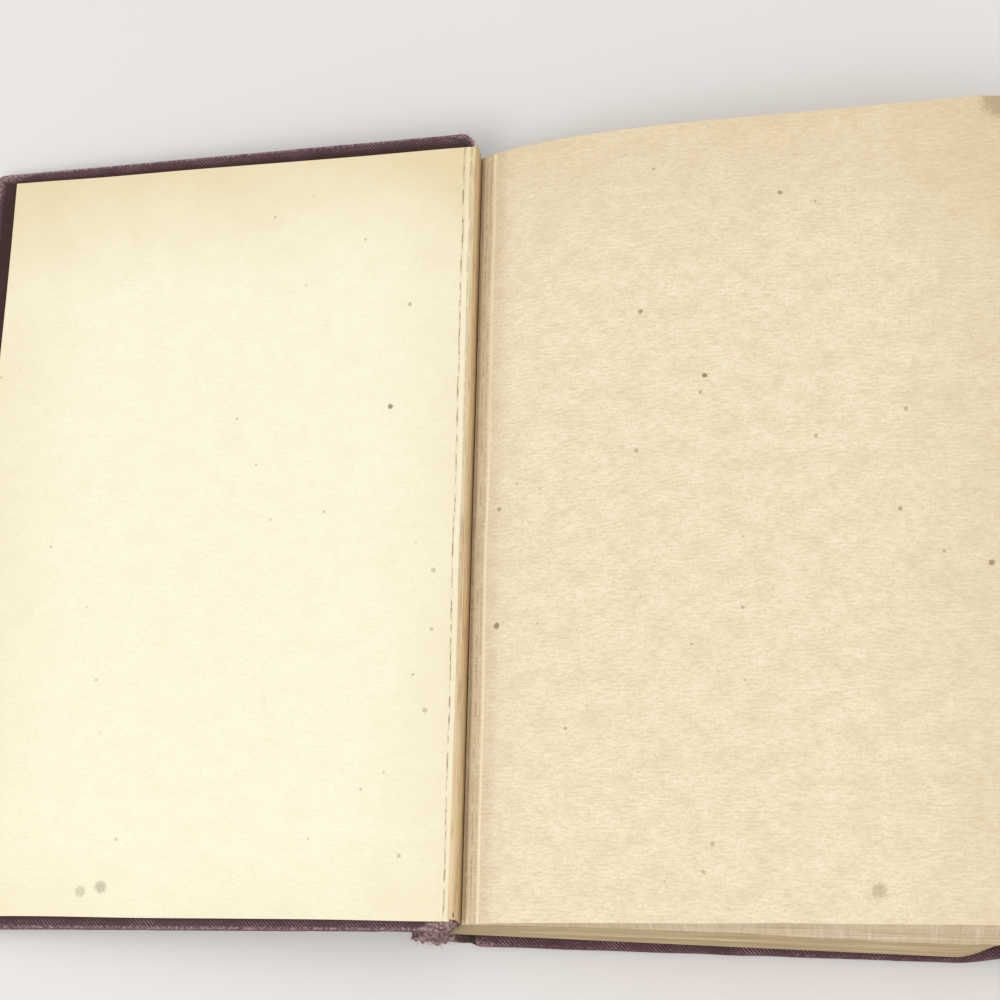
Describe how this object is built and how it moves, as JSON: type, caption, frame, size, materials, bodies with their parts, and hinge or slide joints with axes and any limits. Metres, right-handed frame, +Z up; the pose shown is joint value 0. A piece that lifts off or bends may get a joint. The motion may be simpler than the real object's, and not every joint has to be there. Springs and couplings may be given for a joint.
{
  "type": "open book",
  "caption": "Old cloth-bound book lying open at its front endpapers, with hinged front and back covers, a loose spine cloth and a fanned text block.",
  "frame": {"origin": "on the table, straight below the middle of the gutter, on the flat underside of the spine cloth", "axes": "+X from the gutter to the fore-edge of the right-hand page, +Y to the head of the pages, +Z up"},
  "size_m": [0.2662, 0.1994, 0.0283],
  "materials": {
    "cover_cloth": "matte",
    "pasteboard": "matte",
    "endpaper": "matte",
    "book_paper": "matte",
    "gauze": "matte",
    "lining_paper": "matte"
  },
  "bodies": {
    "book_block": {"text_block": "book_paper", "front_flyleaf": "endpaper", "back_flyleaf": "endpaper", "super_gauze": "gauze", "spine_lining": "lining_paper", "spine_inlay": "pasteboard", "spine_cloth": "cover_cloth"},
    "front_cover": {"front_board": "pasteboard", "front_cloth": "cover_cloth", "front_pastedown": "endpaper"},
    "back_cover": {"back_board": "pasteboard", "back_cloth": "cover_cloth", "back_pastedown": "endpaper"}
  },
  "joints": [
    {"name": "front_hinge", "type": "hinge", "parent": "book_block", "child": "front_cover", "pos_m": [0, 0, 0.01413], "axis": [0, 1, 0], "range_deg": [0, 176.5]},
    {"name": "back_hinge", "type": "hinge", "parent": "book_block", "child": "back_cover", "pos_m": [0.004, -0.0019, -0.00015], "axis": [0.0209, 0.9998, 0], "range_deg": [0, 175]}
  ]
}
